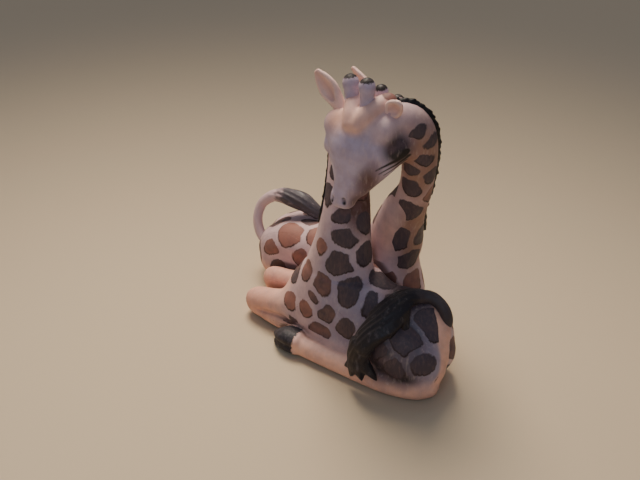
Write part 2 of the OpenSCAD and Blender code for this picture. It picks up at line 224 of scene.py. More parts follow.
def skin_faces(inside, number):
    """A face round each grid edge that the surface crosses, through the numbered vertices of its cells."""
    faces = []
    for axis in range(3):
        _, one, two = edge_steps(axis)
        begin = np.moveaxis(inside, axis, 0)[:-1]
        end = np.moveaxis(inside, axis, 0)[1:]
        edges = np.argwhere(np.moveaxis(begin != end, 0, axis))
        across = [(axis + 1) % 3, (axis + 2) % 3]
        within = (edges[:, across] > 0) & (edges[:, across] < np.array(inside.shape)[across] - 1)
        edges = edges[within.all(1)]
        ring = np.stack([number[tuple((edges - s).T)] for s in (one + two, two, 0 * one, one)], 1)
        leaving = inside[tuple(edges.T)]
        faces.append(np.where(leaving[:, None], ring, ring[:, ::-1]))
    return np.vstack(faces)


def close_edges(field):
    """Fills squares whose inside corners meet only across a diagonal, so that no two sheets share an edge."""
    for _ in range(3):
        for axis in range(3):
            rows = np.moveaxis(field, axis, 0)
            corners = [rows[:, :-1, :-1], rows[:, 1:, :-1], rows[:, 1:, 1:], rows[:, :-1, 1:]]
            a, b, c, d = (corner < 0 for corner in corners)
            pinched = (a == c) & (b == d) & (a != b)
            for corner in corners:
                corner[pinched] = np.minimum(corner[pinched], -0.02)


def relaxed(verts, faces, rounds):
    """Vertices moved to their neighbours and back out, which takes off the grid's steps but no volume."""
    edges = np.vstack([faces[:, [i, (i + 1) % 4]] for i in range(4)])
    count = np.bincount(edges[:, 0], minlength=len(verts))[:, None]
    for strength in (0.5, -0.52) * rounds:
        total = [np.bincount(edges[:, 0], verts[edges[:, 1], i], len(verts)) for i in range(3)]
        verts = verts + strength * (np.stack(total, 1) / count - verts)
    return verts


# ---------------------------------------------------------------- the two animals

# Limbs are rows of x, y, z, half width and half depth. A leg is a list of limbs, each after its blend.
GIRAFFES = {
    "front": {
        "belly": [(-8, -15, 6, 6, 6), (10, -17.8, 6, 5.4, 6), (26, -18.4, 6, 5.4, 6)],
        "rump": [(34, -2, 25, 5, 8.6), (42, -2, 25, 5.2, 8.8), (48, -3, 21.5, 4.4, 8)],
        "trunk": [(-12, -7, 18.5, 7, 9), (-4, -7, 17.5, 11, 14.6), (10, -7, 17.5, 12.3, 18),
                  (28, -7, 17.5, 12.8, 18.5), (42, -6.5, 16, 13, 16.6), (50, -6.5, 14.5, 8.5, 10.5)],
        "neck": [(5, -7, 20, 19, 11.5), (5, -6.9, 30, 17, 11.4), (5, -6.8, 38, 14.6, 11),
                 (5.5, -6, 48, 12.2, 9.8), (5.5, -4.5, 59, 10.4, 8.8), (3.8, -1, 70, 9, 8),
                 (0.6, 3.5, 82, 7.4, 7.4), (-2.2, 7, 90.5, 7, 7), (-2, 8.8, 96.5, 6.8, 6.8),
                 (0.8, 10.6, 99, 6.8, 6.8), (7, 13.5, 98.6, 6.8, 6.8)],
        "head": {"skull": (12, 15, 96), "muzzle": (20.8, 31.5, 73.5), "left": (-0.88, 0.47, 0), "size": 0.88},
        "forelegs": {
            "left": [(5, [(0, -11, 16, 7.5, 8.5), (-10, -13, 13.5, 6.6, 7.4), (-22, -14, 9.8, 5.8, 6.4),
                          (-31, -14.4, 7.6, 5.4, 6), (-33.8, -14.4, 7, 4.6, 5.2)]),
                     (2, [(-32, -14.6, 5.4, 4.6, 4.6), (-22, -16.2, 4.8, 4.4, 4.4),
                          (-8, -16.8, 4.4, 4.2, 4.2), (0, -16.6, 4.4, 4.2, 4.2)])],
            "right": [(4, [(-2, -2, 17, 5.5, 7.5), (-12, -1, 14.5, 5.2, 6.6), (-24, -0.4, 11, 5, 6),
                           (-33, -0.6, 9.6, 4.8, 5.8), (-35.4, -0.6, 9, 4, 5)]),
                      (2, [(-33, -0.6, 5.6, 4.2, 4.4), (-20, -0.6, 5, 4, 4.2), (-6, -0.6, 5, 4, 4.2)])],
        },
        "hind_legs": {
            "left": [(3, [(29, -15.5, 18, 8, 10), (38, -16, 18.5, 11.2, 13), (46.5, -15.5, 15, 10.5, 12.6),
                          (52, -15, 11, 6.5, 8.5)]),
                     (2, [(53.4, -17.2, 6.2, 5, 5.8), (49, -20, 5.6, 5.6, 6), (40, -23.2, 4.8, 4.9, 5.2),
                          (30, -24.4, 4.4, 4.3, 4.8), (10, -25, 4.2, 4.1, 4.6), (-2, -25.2, 4.2, 4, 4.5)])],
            "right": [(3, [(31, 0.6, 16, 5, 9), (38, 0.6, 15, 6.2, 12.6), (45, 0.6, 11.5, 5.6, 10),
                           (50, 0.6, 8, 3.6, 6)])],
        },
    },
    "back": {
        "belly": [(18, 23, 6, 5, 6), (2, 26, 6, 5.4, 6), (-18, 26.4, 6, 5.4, 6)],
        "rump": [(-26, 11.6, 20, 5, 8.4), (-34, 11.6, 19.5, 5, 8.4), (-42, 12, 16, 4.4, 7.4)],
        "trunk": [(25, 15, 16.5, 6.5, 8.5), (18, 15.5, 16.5, 10.5, 14.2), (4, 16, 17.5, 12, 18.2),
                  (-18, 16, 16.5, 12.8, 17.3), (-36, 16, 13.5, 12.8, 15), (-45, 16, 12, 8.5, 10)],
        "neck": [(13, 15.5, 20, 12.6, 10.8), (15.4, 15.3, 34, 11.6, 10.2), (17.8, 14.8, 45, 11.6, 9.2),
                 (21.4, 13, 59, 9, 7.6), (27.4, 10.4, 73.3, 6.6, 6.6), (30, 7.8, 87.3, 6.6, 6.6),
                 (30.4, 6, 98, 6.8, 6.8), (28.8, 4.6, 104.6, 7, 7), (25, 2.4, 107.6, 7.2, 7.2),
                 (18, -2, 106.8, 7.2, 7.2)],
        "head": {"skull": (13, -5, 105), "muzzle": (9.9, -12.8, 73.4), "left": (0.985, 0, 0.17), "size": 1.0},
        "jowl": [(25, -2, 99, 7, 7), (20, -6, 92, 6.6, 6.6), (14.5, -10.5, 83, 5.4, 5.4)],
        "forelegs": {
            "right": [(3, [(14, 12.4, 12, 4, 7.5), (20, 12.4, 10.5, 4.2, 7.4), (25, 12.2, 8.5, 4.2, 6.6),
                           (30, 12, 7.2, 3.6, 5.2)])],
            "left": [(3, [(14, 21, 12, 4.4, 7.5), (20, 21, 10.5, 4.8, 7.4), (25, 21, 8.5, 4.8, 6.6),
                          (30, 21, 7.4, 4, 5.2)])],
        },
        "hind_legs": {
            "left": [(3, [(-23, 24, 17, 8, 9.5), (-32, 25, 17, 11, 13), (-41, 24.5, 14, 10.2, 12),
                          (-48, 24, 11, 6.8, 8.5)]),
                     (2, [(-50, 26, 6.2, 5, 5.8), (-43.5, 29, 5.6, 5.5, 6), (-34, 32, 4.8, 4.9, 5.2),
                          (-24, 32.8, 4.4, 4.3, 4.8), (-4, 33.2, 4.2, 4.1, 4.6), (7, 33.4, 4.2, 4, 4.5)])],
            "right": [(2, [(-25, 8.4, 15, 3.6, 8), (-33, 8.4, 13.5, 3.7, 11.4), (-39, 8.4, 11, 3.7, 9.6),
                           (-44, 8.4, 8, 3.2, 6)])],
        },
    },
}
FOLD = [(-30, -19.8, 6.8, 0.7, 0.7), (-22, -19.9, 8.2, 1, 1), (-14, -19.3, 8.8, 1, 1),
        (-7, -18.4, 8.6, 0.7, 0.7)]
CREASES = {"front": [FOLD], "back": []}
HOOVES = {"front": ((-3.6, -25.2, 4.7), (-1, 0, 0)), "back": ((9.5, 33, 4.7), (1, 0, 0))}   # place, heading


class Face:
    """Places on a head, in its own directions: down the snout, to the left, and out of the forehead."""

    def __init__(self, skull, muzzle, left, size):
        self.skull = np.asarray(skull, float)
        self.down = unit(np.subtract(muzzle, skull))
        self.slant = np.asarray(left, float)
        self.left = unit(self.slant - self.down * (self.slant @ self.down))
        self.front = np.cross(self.down, self.left)
        self.size = size
        self.axes = np.stack([self.down, self.left, self.front])

    def at(self, down, left, front):
        return self.skull + self.size * (down * self.down + left * self.slant + front * self.front)


# The ridge from the forehead to one brow, as steps down, left and front.
BROW = [(-1, 1.4, 6.6), (-4, 2.6, 5.6), (-7.2, 4.8, 2.8), (-9, 6.8, -1.6)]


def sculpt_head(clay, face):
    """The skull and snout as one tapered form, with brows, cheeks, closed eyes, nose and chin pressed on."""
    s = face.size
    profile = [(1, 10.4, 7.8), (8, 11.8, 9.4), (16, 8.4, 7.8), (22, 5.8, 6.6), (30, 4.6, 5.2)]
    stations = [(*face.at(down, 0, 0), width * s, depth * s) for down, width, depth in profile]
    clay.limb(stations, 4, side=face.left)
    for hand in (-1, 1):
        ridge = [(*face.at(down, left * hand, front), 3.3 * s, 3.3 * s) for down, left, front in BROW]
        clay.lump(face.at(1, 11 * hand, 2), (5.2 * s, 4.2 * s, 4.2 * s), 3.4, face.axes)
        clay.limb(ridge, 1)
        clay.lump(face.at(13, 8 * hand, -3), (7.5 * s, 4.6 * s, 5 * s), 3, face.axes)
        clay.lump(face.at(8.5, 11.4 * hand, 0.6), (4.6 * s, 2.4 * s, 4 * s), 1.6, face.axes)
        clay.lump(face.at(29.6, 2 * hand, 0.8), (4.4 * s, 2.9 * s, 4.3 * s), 1.6, face.axes)
    clay.lump(face.at(29, 0, -3.2), (4.6 * s, 3.2 * s, 2.8 * s), 1.2, face.axes)


def carve_face(clay, face):
    """The fine hollows of the face: nostrils and the line of the mouth."""
    s = face.size
    for hand in (-1, 1):
        clay.lump(face.at(30.4, 2.5 * hand, 4.9), (1.5 * s, 0.75 * s, 1.2 * s), 0.8, face.axes, carve=True)
    lips = [(26, 5.4, -1.8), (31.4, 4, -1.7), (34, 0, -1.5), (31.4, -4, -1.7), (26, -5.4, -1.8)]
    clay.limb([(*face.at(*place), 0.7, 0.7) for place in lips], 0.8, carve=True)


def sculpt_hoof(clay, place, ahead):
    """A cloven hoof lying on its side: two pointed toes with a cleft between them."""
    place, ahead = np.asarray(place, float), np.asarray(ahead, float)
    outline = [(0, 0, 4.7, 3.2), (5, 0, 4.9, 3.1), (9, 1, 3.4, 2.1), (11.6, 1.9, 1.2, 0.9)]
    for height in (-1.9, 1.9):
        clay.limb([(*(place + (height - drop) * UP + out * ahead), width, depth)
                   for out, drop, width, depth in outline], 0.6)


def trim(clay, low_z, high_z, axis, place, keep_below):
    """Cuts a block off flat at a plane, between two heights."""
    start, stop = (int(round(z / clay.pitch)) - clay.first[2] for z in (low_z, high_z))
    shape = [1, 1, 1]
    shape[axis] = -1
    beyond = (clay.first[axis] + np.arange(clay.size[axis])) * clay.pitch - place
    beyond = (beyond if keep_below else -beyond).reshape(shape).astype(np.float32)
    layers = np.s_[:, :, max(start, 0):stop]
    if axis == 2:
        beyond = beyond[layers]
    clay.field[layers] = np.maximum(clay.field[layers], beyond)


def sculpt_giraffe(name):
    """One animal as a single block of clay, without its ears, horns, mane and tail."""
    parts = GIRAFFES[name]
    clay = Clay((-64, -34, -1.2), (64, 42, 120), BODY_PITCH)
    clay.limb(parts["trunk"], 0)
    clay.limb(parts["belly"], 5)
    clay.limb(parts["rump"], 6)
    for legs in (parts["forelegs"], parts["hind_legs"]):
        for leg in legs.values():
            for blend, stations in leg:
                clay.limb(stations, blend)
    clay.limb(parts["neck"], 11, side=(1, 0, 0))
    face = Face(**parts["head"])
    sculpt_head(clay, face)
    if "jowl" in parts:
        clay.limb(parts["jowl"], 3)
    carve_face(clay, face)
    for crease in CREASES[name]:
        clay.limb(crease, 0.8, carve=True)
    sculpt_hoof(clay, *HOOVES[name])
    trim(clay, -2, 120, 2, 0, keep_below=False)
    trim(clay, -2, SEAM_TOP, 1, SEAM_Y, keep_below=name == "front")
    return clay


# Foot, tip, and the direction across the leaf.
EARS = {
    ("front", "left"): ((6.6, 18, 101.6), (-6, 15, 114.6), (-0.6, 0.53, -0.37)),
    ("front", "right"): ((21.4, 15.6, 99.2), (28.6, 20, 99.2), (0, 0.3, 1)),
    ("back", "right"): ((3.4, -4, 106.6), (-10, -3, 119.5), (0.7, 0, 0.7)),
    ("back", "left"): ((22, -3.6, 111), (28.6, -6.4, 118.6), (0.3, 0.2, -1)),
}
HORNS = {
    ("front", "left"): ((10.4, 12.8, 100), (9.4, 12, 111.2)),
    ("front", "right"): ((15.8, 13.2, 99), (16.9, 12, 109)),
    ("back", "right"): ((9.6, -6.4, 104), (5.4, -3, 121)),
    ("back", "left"): ((16, -7.4, 106), (14.4, -6, 123)),
}
HORN_SIZE = {"front": 0.86, "back": 1.0}
FULL_EAR = 14       # the length from which an ear has its full width
CAP_START = 0.97    # the share of a horn below its dark cap


def leaning(foot, tip, outline, lift=0.0):
    """Stations from a foot to a tip. A row of the outline is a share of the way, a width and a depth."""
    return [(*(foot + (tip - foot) * share + lift), width, depth) for share, width, depth in outline]


def sculpt_ear(foot, tip, across):
    """A leaf-shaped ear on a short stalk, hollowed on the side that looks to the front of the statue."""
    length = np.linalg.norm(tip - foot)
    along = unit(tip - foot)
    wide = unit(np.asarray(across) - along * (along @ np.asarray(across)))
    out = np.cross(along, wide)
    out = out if out[1] < 0 else -out
    reach = length * 0.7 + 3
    clay = Clay((foot + tip) / 2 - reach, (foot + tip) / 2 + reach, FINE_PITCH)
    width = min(1, length / FULL_EAR)
    leaf = [(0, 2.4, 2.2), (0.2, 3.2, 2), (0.5, 4.7 * width, 1.7), (0.75, 3.7 * width, 1.3), (0.93, 1.7, 0.9)]
    clay.limb(leaning(foot, tip, leaf), 0, side=wide)
    cup = [(0.3, 1, 0.8), (0.52, 2.9 * width, 1.3), (0.72, 2.1 * width, 1), (0.86, 0.8, 0.6)]
    clay.limb(leaning(foot, tip, cup, 1.1 * out), 0.8, side=wide, carve=True)
    return clay


def sculpt_horn(foot, tip, size):
    """A horn of a giraffe: a stout stem, narrow in the middle, under a round knob."""
    clay = Clay(np.minimum(foot, tip) - 6, np.maximum(foot, tip) + 6, FINE_PITCH)
    outline = [(0, 3.6), (0.3, 3), (0.62, 2.6), (0.82, 2.8), (0.9, 2.7)]
    clay.limb(leaning(foot, tip, [(share, radius * size, radius * size) for share, radius in outline]), 0)
    clay.lump(foot + (tip - foot) * 0.86, (2.9 * size, 2.9 * size, 2.6 * size), 1)
    return clay


TAILS = {
    "front": {
        "stem": [(50.5, -3, 23, 2.6, 2.6), (52.6, -2.8, 28, 2.5, 2.5), (50.6, -2.2, 33, 2.5, 2.5),
                 (45.6, -1.6, 35.6, 2.6, 2.6), (41.4, -3.4, 36, 2.9, 2.9), (38, -7, 36.6, 3.2, 3.2)],
        "tuft": [(40, -5, 36.4, 3, 2.8), (37, -10, 37, 4.8, 3.6), (36, -15.6, 35.4, 6.6, 4.2),
                 (34.4, -21.6, 31.8, 7.4, 4.2), (31, -26.8, 26, 6, 4), (29, -29.4, 19.6, 5, 3.6),
                 (29, -29.6, 14, 4.6, 3.2)],
        "points": [((40, -15, 34.4), (44, -19.4, 26.6)), ((37.6, -20, 32), (40.4, -24, 23)),
                   ((28, -30, 15), (22.6, -29.4, 9)), ((28.4, -30.4, 14), (26.6, -31, 6.6)),
                   ((30, -30.4, 14), (31.6, -30.6, 6.6)), ((31.6, -29.6, 15), (37.6, -28.8, 8.4))],
    },
    "back": {
        "stem": [(-46, 13, 13.5, 2.5, 2.5), (-52.4, 13.6, 17.8, 2.3, 2.3), (-55.6, 15.4, 23.5, 2.2, 2.2),
                 (-55.6, 18.6, 30, 2.3, 2.3), (-51, 20.4, 35.2, 2.6, 2.6), (-46, 21.4, 37.2, 2.8, 2.8)],
        "tuft": [(-48, 21, 36.6, 2.4, 2.4), (-43.5, 21.6, 37.6, 3.9, 3.9), (-35, 22.4, 37.2, 4.4, 4.4),
                 (-29, 22.8, 35.6, 2.8, 2.8)],
        "points": [((-31, 22.6, 36.4), (-22.6, 23, 34.4)), ((-31, 21.6, 35.4), (-24.4, 21, 32.6)),
                   ((-31, 24, 35.4), (-25, 25.6, 33))],
    },
}


def sculpt_tail(name):
    """A thin stem that ends in a tuft of long locks with parted points."""
    tail = TAILS[name]
    rows = np.array(tail["stem"] + tail["tuft"], float)[:, :3]
    tips = np.array([tip for _, tip in tail["points"]])
    low = np.minimum(rows.min(0), tips.min(0)) - 7
    clay = Clay(low, np.maximum(rows.max(0), tips.max(0)) + 7, FINE_PITCH)
    clay.limb(tail["stem"], 0, steps=6)
    clay.limb(tail["tuft"], 1.5, steps=6, locks=11, lock_depth=0.4, twist=0.05)
    for foot, tip in tail["points"]:
        middle = np.asarray(foot) * 0.45 + np.asarray(tip) * 0.55
        clay.limb([(*foot, 2.7, 2.7), (*middle, 1.9, 1.9), (*tip, 0.5, 0.5)], 1.2, locks=5, lock_depth=0.3)
    return clay


MANES = {
    "front": {"from": 56, "to": 97, "out": (-0.86, -0.3, 0.4), "size": 0.5},
    "back": {"from": 50, "to": 109, "out": (0.82, 0.5, 0.5), "size": 1.0},
}


def sculpt_mane(name):
    """A ridge of short overlapping locks down the outer side of the neck, which lean down along it."""
    mane = MANES[name]
    neck = smooth_line(GIRAFFES[name]["neck"], 5)
    size = mane["size"]
    places, away = [], []
    for before, here, after in zip(neck, neck[1:], neck[2:]):
        if mane["from"] < here[2] < mane["to"]:
            along = unit(after[:3] - before[:3])
            away.append(unit(np.array(mane["out"]) - along * (along @ np.array(mane["out"]))))
            places.append(here[:3] + away[-1] * (here[3] - 0.9 * size))
    places, away = np.array(places), np.array(away)
    clay = Clay(places.min(0) - 6, places.max(0) + 6, FINE_PITCH)
    clay.limb([(*place, 1.5 * size, 1.4 * size) for place in places[::2]], 0, steps=2)
    line = smooth_line(np.hstack([places, away]), 2)
    for i in range(1, len(line) - 1):
        lift = 0.8 + 0.35 * math.sin(2.4 * i) + 0.2 * math.sin(5.3 * i)
        back = unit(line[i - 1, :3] - line[i + 1, :3])
        out = line[i, 3:]
        foot = line[i, :3] - 0.4 * out
        tip = line[i, :3] + (1.7 * lift * out + 3 * back) * size
        clay.limb([(*foot, 1.6 * size, 1.6 * size), (*((foot + tip) / 2), 1.2 * size, 1.1 * size),
                   (*tip, 0.3, 0.3)], 0.4, steps=2)
    return clay


# ---------------------------------------------------------------- pieces

def rectangle(low_x, low_y, high_x, high_y):
    return [(low_x, low_y), (high_x, low_y), (high_x, high_y), (low_x, high_y)]


def beyond_plane(point, heading, reach=70):
    """A square in plan that starts at a point and goes on in a heading."""
    point, ahead = np.array(point, float), unit(heading)
    aside = np.array([-ahead[1], ahead[0]])
    corners = [(0, -1), (1, -1), (1, 1), (0, 1)]
    return [tuple(point + reach * (along * ahead + across * aside)) for along, across in corners]


CUTS = {
    "front": [
        ("head", beyond_plane((3.5, 12), (0.88, 0.47)), 62, 140),
        ("neck", rectangle(-30, -40, 20.5, 40), 27, 140),
        ("left_foreleg", rectangle(-70, -20.6, 3, -9), -5, 20),
        ("right_foreleg", rectangle(-70, -5, 3, 10), -5, 20),
        ("left_hind_leg", [(22, -16), (22, -20.4), (-30, -20.4), (-30, -60), (70, -60), (70, -16)], -5, 60),
        ("right_hind_leg", rectangle(22, 0.6, 70, 10), -5, 30),
    ],
    "back": [
        ("head", beyond_plane((22, -1), (-0.6, -0.8)), 60, 140),
        ("neck", rectangle(0.5, -40, 60, 60), 27, 140),
        ("right_foreleg", rectangle(19.5, -10, 70, 16.4), -5, 20),
        ("left_foreleg", rectangle(19.5, 16.6, 70, 27.4), -5, 20),
        ("left_hind_leg", [(-18, 25), (-70, 25), (-70, 60), (30, 60), (30, 28.6), (-18, 28.6)], -5, 60),
        ("right_hind_leg", rectangle(-70, 0, -18, 8.4), -5, 29),
    ],
}
SLOTS = {"trunk": "spotted_paint", "neck": "spotted_paint", "head": "face_paint", "foreleg": "leg_paint",
         "hind_leg": "leg_paint"}


def new_object(name, mesh):
    obj = bpy.data.objects.new(name, mesh)
    bpy.context.scene.collection.objects.link(obj)
    return obj


def new_mesh(name, verts, faces):
    mesh = bpy.data.meshes.new(name)
    mesh.from_pydata((np.asarray(verts) * MM).tolist(), [], [list(face) for face in faces])
    mesh.update()
    return mesh


def prism(outline, low, high):
    """A closed block over an outline in plan."""
    if sum(a[0] * b[1] - b[0] * a[1] for a, b in zip(outline, outline[1:] + outline[:1])) < 0:
        outline = outline[::-1]
    count = len(outline)
    verts = [(x, y, low) for x, y in outline] + [(x, y, high) for x, y in outline]
    sides = [(i, (i + 1) % count, (i + 1) % count + count, i + count) for i in range(count)]
    return new_mesh("cutter", verts, [tuple(range(count))[::-1], tuple(range(count, 2 * count)), *sides])


def cut(obj, cutter, operation):
    """The mesh of an object after a Boolean with a cutter."""
    modifier = obj.modifiers.new("cut", "BOOLEAN")
    modifier.operation = operation
    modifier.object = cutter
    modifier.solver = "MANIFOLD"
    mesh = bpy.data.meshes.new_from_object(obj.evaluated_get(bpy.context.evaluated_depsgraph_get()))
    obj.modifiers.remove(modifier)
    return mesh


def cut_pieces(name, verts, faces):
    """Cuts the skin of one animal at its joints. What is left after the last cut is the trunk."""
    rest = new_object(name + "_skin", new_mesh(name + "_skin", verts, faces))
    pieces = {}
    for part, outline, low, high in CUTS[name]:
        cutter = new_object("cutter", prism(outline, low, high))
        pieces[part] = cut(rest, cutter, "INTERSECT")
        rest.data = cut(rest, cutter, "DIFFERENCE")
        bpy.data.objects.remove(cutter)
    pieces["trunk"] = rest.data
    bpy.data.objects.remove(rest)
    return pieces


# ---------------------------------------------------------------- paint, worked out at every vertex

def linear(red, green, blue):
    """A colour given as on a screen, 0 to 255, in the linear values that shaders use."""
    share = np.array([red, green, blue]) / 255
    return np.where(share < 0.04, share / 12.9, ((share + 0.055) / 1.055) ** 2.4)


CREAM = linear(214, 182, 180)
PEACH = linear(244, 188, 160)
CORAL = linear(216, 140, 112)
LILAC = linear(194, 180, 200)
MAUVE = linear(158, 147, 162)
SLATE = linear(98, 92, 100)
TAN = linear(156, 118, 100)
BROWN = linear(96, 66, 56)
CHARCOAL = linear(46, 42, 46)
SOOT = linear(34, 28, 28)


def near(places, centre, radii):
    """1 at a centre, falling smoothly to 0 at an ellipsoid round it."""
    share = np.clip(1 - np.linalg.norm((places - np.array(centre)) / np.array(radii, float), axis=1), 0, 1)
    return share * share * (3 - 2 * share)


def near_line(places, line, width, end_width=None):
    """How far inside a stroke places are, in mm: positive on the stroke, which may narrow towards its end."""
    rows = np.asarray(line, float)
    widths = np.linspace(width, width if end_width is None else end_width, len(rows))
    best = np.full(len(places), -FAR)
    for a, b, start, end in zip(rows, rows[1:], widths, widths[1:]):
        share = np.clip((places - a) @ (b - a) / ((b - a) @ (b - a)), 0, 1)
        gap = np.linalg.norm(places - a - share[:, None] * (b - a), axis=1)
        best = np.maximum(best, start + share * (end - start) - gap)
    return best


def wobble(places, scale, amount):
    """A small smooth shift of places, so that painted edges aren't perfect."""
    a, b, c = (places @ np.array([[0.8, 0.5, -0.33], [-0.56, 0.77, -0.3], [0.1, 0.42, 0.9]]) / scale).T
    shift = [np.sin(b + 1.7 * np.sin(c)), np.sin(c * 1.3 + 2), np.sin(a * 1.1 + 1.3 * np.sin(b))]
    return amount * np.stack(shift, 1)


SPOT_GAP = 2.5      # between neighbouring spots
SPOT_GROWTH = 0.8   # past the radius of a seed
SPOT_SPACING = 10.4
SPOT_TRIES = 6000
SPOT_RADII = (4.2, 5.4)
SPOT_TONES = (0.3, 0.9)
# The spots given one by one, as x, y, z, radius, and a tone from 0, reddish, to 1, dark.
# The tones listed here also paint light and shade: reddish on spots that face the warm light, dark grey on
# the shaded flank, darkest on the thigh.
SPOTS = {
    "front": [(11, -13, 57, 5.2, 0.95), (17, -8, 49, 5, 0.85), (10, -15, 46, 6, 0.85),
              (24, -5, 37, 5.6, 0.95), (17, -17, 36, 6.4, 0.85), (24.5, -15, 33, 5.4, 0.95),
              (4, -19, 35, 5, 0.55), (1, -15, 50, 3, 0.2), (-5.5, -16, 36, 4, 0.3), (-2, -21, 21, 3.6, 0.2),
              (8, -21, 23, 3.8, 0.65), (17, -21, 20, 4.4, 0.8), (36, -4, 34, 5, 1), (49, -10, 30, 6, 0.85),
              (45, -21, 28, 6.2, 0.85), (52, -21, 20, 4.8, 0.95), (1, -7, 80, 3.6, 0.9),
              (-1, -9, 71, 4.2, 0.9), (8, -12, 65, 4, 0.75), (15, -6, 61, 4.4, 0.9),
              (-11.6, -18.6, 19, 3.8, 0.2), (1, -20, 28, 3, 0.5), (32, -13, 34, 4.6, 1),
              (43, -26, 17, 5, 1.1), (36, -26, 21, 5, 1.1)],
    "back": [(-32, 9, 29, 6.2, 0.1), (-20, 10, 33, 4.6, 0.2), (-24, 5, 22, 4, 0.35), (-40, 6, 20, 3.8, 0.25),
             (34, 0, 105, 3, 0.9), (36, 3, 100, 4, 1), (35, 2, 95, 4, 0.95), (30, 1, 88, 3, 0.9),
             (30, 3, 80, 4.4, 0.95), (35, 7, 84, 4, 1), (28, 5, 67, 4.8, 0.9), (23, 7, 50, 6, 1),
             (26, 11, 40, 5, 0.95), (29, 14, 50, 4.6, 1)],
}
# Strokes without spots, as lines and their half widths, and where the plain lower legs and knees begin.
RUMP_BAND = [(49, -3, 31), (55, -8.5, 24.5), (58.5, -13, 17), (58.5, -17, 8)]
BARE = {
    "front": [([(-13, -12, 12), (-11, -12, 12)], 9), (RUMP_BAND, 3.4)],
    "back": [([(17, 5, 39), (14, 4, 48), (16, 4, 56), (20, 5, 63)], 7.5), ([(28, -2, 98), (28, 0, 99)], 7)],
}
LOWER_LEGS = {
    "front": {"heading": -1, "foot_y": 20.2, "knee_x": 16.5, "knee_top": 24},
    "back": {"heading": 1, "foot_y": 29, "knee_x": 28, "knee_top": 18},
}
FOOT_TOP = 11
PLAIN_BELOW = 8.5


def spot_pattern(places, seeds):
    """Distance inside the nearest spot, its tone, and how far below its middle a place is."""
    moved = places + wobble(places, 2.2, 0.45)
    inside, tone, below = (np.empty(len(places)) for _ in range(3))
    for start in range(0, len(places), 20000):
        part = np.s_[start:start + 20000]
        gaps = np.linalg.norm(moved[part, None] - seeds[None, :, :3], axis=2) - seeds[:, 3] - SPOT_GROWTH
        order = np.argpartition(gaps, 1, axis=1)
        first = np.take_along_axis(gaps, order[:, :1], 1)[:, 0]
        second = np.take_along_axis(gaps, order[:, 1:2], 1)[:, 0]
        between = (second - first) / 2 - SPOT_GAP / 2
        inside[part] = soft_union(-first, between, 1.2)
        tone[part] = seeds[order[:, 0], 4]
        below[part] = (seeds[order[:, 0], 2] - places[part, 2]) / seeds[order[:, 0], 3]
    return inside, tone, below


def all_seeds(name, verts, rng):
    """The spots listed in SPOTS, and more of them scattered evenly over the rest of the coat."""
    seeds = [list(seed) for seed in SPOTS[name]]
    coat = verts[coat_share(name, verts) > 0.5]
    for x, y, z in coat[rng.permutation(len(coat))[:SPOT_TRIES]]:
        if all((x - s[0]) ** 2 + (y - s[1]) ** 2 + (z - s[2]) ** 2 > SPOT_SPACING ** 2 for s in seeds):
            seeds.append([x, y, z, rng.uniform(*SPOT_RADII), rng.uniform(*SPOT_TONES)])
    return np.array(seeds)


def head_share(name, places):
    """1 on the head, falling to 0 within a few mm of it."""
    face = Face(**GIRAFFES[name]["head"])
    rel = places - face.skull
    down = rel @ face.down
    aside = np.linalg.norm(rel - down[:, None] * face.down, axis=1)
    return np.clip((18 - aside) / 3, 0, 1) * np.clip((down + 14) / 3, 0, 1) * np.clip((40 - down) / 3, 0, 1)


def coat_share(name, places):
    """1 where the coat is spotted, 0 on the face, the lower legs and underneath."""
    x, y, z = places.T
    legs = LOWER_LEGS[name]
    low = np.clip((PLAIN_BELOW - z) / 2, 0, 1)
    foot = np.clip((legs["heading"] * y - legs["foot_y"]) / 1.5, 0, 1) * (z < FOOT_TOP)
    knees = np.clip((legs["heading"] * x - legs["knee_x"]) / 2, 0, 1) * (z < legs["knee_top"])
    bare = sum(np.clip(near_line(places, line, width), 0, 1) for line, width in BARE[name])
    return 1 - np.clip(head_share(name, places) + low + foot + knees + bare, 0, 1)


def hollowness(places, normals, clays, reach=2.6):
    """How deep in a crease places are, from 0 in the open to 1, with the floor counted as a surface."""
    out = places + normals * reach
    room = np.minimum.reduce([clay.read(out) for clay in clays] + [out[:, 2] + 1])
    return np.clip(1 - room / reach, 0, 1)


# Half widths of the lashes, and their points as steps down and along an arc round the head of LASH_REACH.
LASH_REACH = 13
LASHES = [(1.0, ((3.6, -1.6), (8, -0.4), (13.4, 3.6))), (0.7, ((5.6, -2.8), (10, -1.2), (14.6, 2))),
          (0.5, ((8, -3.4), (12, -2), (15, 0)))]
LASH_END = 24
NOSTRIL = ((29.6, 2.5, 5), (31.4, 2.9, 4.4))
MOUTH = ((29, 4.8, -1.8), (32, 3.6, -1.7), (34, 0, -1.5), (32, -3.6, -1.7), (29, -4.8, -1.8))
JAW = ((14, 9, 1), (22, 6.6, 1.5), (30, 4.4, 0.5))


def face_marks(name, places):
    """Ink on the face, in mm inside the nearest stroke: lashes, nostrils and mouth."""
    face = Face(**GIRAFFES[name]["head"])
    rel = (places - face.skull) / face.size
    ink = near_line(places, [face.at(*place) for place in MOUTH], 0.4)
    for hand in (-1, 1):
        turn = np.arctan2(rel @ face.front, rel @ face.left * hand)
        spread = np.stack([rel @ face.down, LASH_REACH * turn], 1)
        lashes = np.maximum.reduce([near_line(spread, lash, width, 0.2) for width, lash in LASHES])
        nostril = [face.at(down, left * hand, front) for down, left, front in NOSTRIL]
        ink = np.maximum(ink, np.where(np.linalg.norm(rel, axis=1) < LASH_END, lashes, -FAR))
        ink = np.maximum(ink, near_line(places, nostril, 0.65))
    return ink
